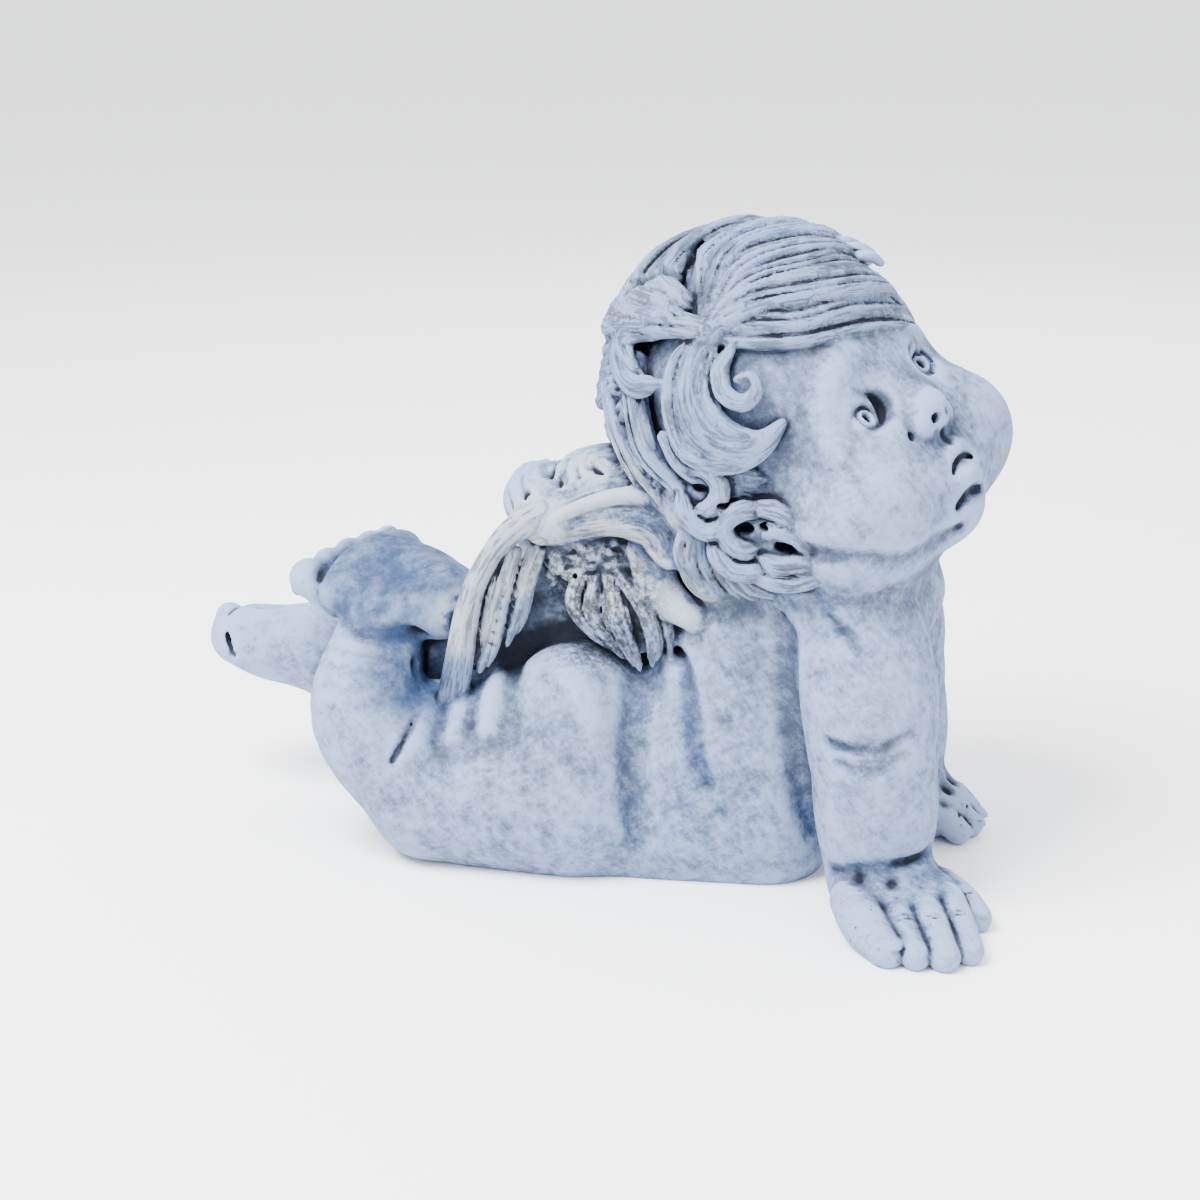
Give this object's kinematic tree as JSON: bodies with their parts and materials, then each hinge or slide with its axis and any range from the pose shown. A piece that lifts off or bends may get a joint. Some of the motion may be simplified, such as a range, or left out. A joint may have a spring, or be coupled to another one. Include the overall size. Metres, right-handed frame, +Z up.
{
  "type": "reclining cherub statue",
  "caption": "Garden statue of a winged cherub lying on its belly, awake, propped on straight arms, with its feet in the air.",
  "frame": {"origin": "bottom centre of the bounding box, on the flat underside", "axes": "+X from the feet towards the head and the hands, +Z up, the figure's right side towards -Y"},
  "size_m": [0.36, 0.1864, 0.274],
  "materials": {
    "stone": "weathered pale blue-grey cast stone, dry-brushed white, grime in the grooves"
  },
  "bodies": {
    "root": {"angel": "stone"}
  },
  "joints": []
}
